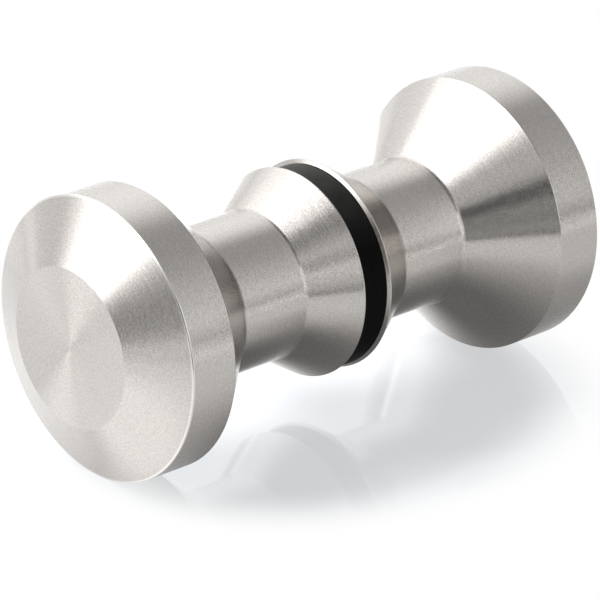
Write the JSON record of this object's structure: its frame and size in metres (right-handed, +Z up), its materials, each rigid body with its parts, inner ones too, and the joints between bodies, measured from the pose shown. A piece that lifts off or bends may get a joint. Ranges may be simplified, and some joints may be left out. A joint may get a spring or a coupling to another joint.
{
  "type": "double shower door knob",
  "caption": "Back-to-back turned door knob for a glass shower door, with conical heads and necks and soft gaskets between the bases.",
  "frame": {"origin": "centre of the seam between the two gaskets, on the turning axis, where the middle of the glass would be", "axes": "+Y along the turning axis from the outside knob to the inside knob, +Z up, as fitted to an upright glass door"},
  "size_m": [0.04, 0.0844, 0.04],
  "materials": {
    "knob_metal": "fine turned satin",
    "gasket_rubber": "smooth black",
    "stud_metal": "plain machined",
    "sleeve_plastic": "natural moulded"
  },
  "bodies": {
    "root": {"outside_knob": "knob_metal", "inside_knob": "knob_metal", "outside_gasket": "gasket_rubber", "inside_gasket": "gasket_rubber", "threaded_stud": "stud_metal", "glass_hole_sleeve": "sleeve_plastic"}
  },
  "joints": []
}
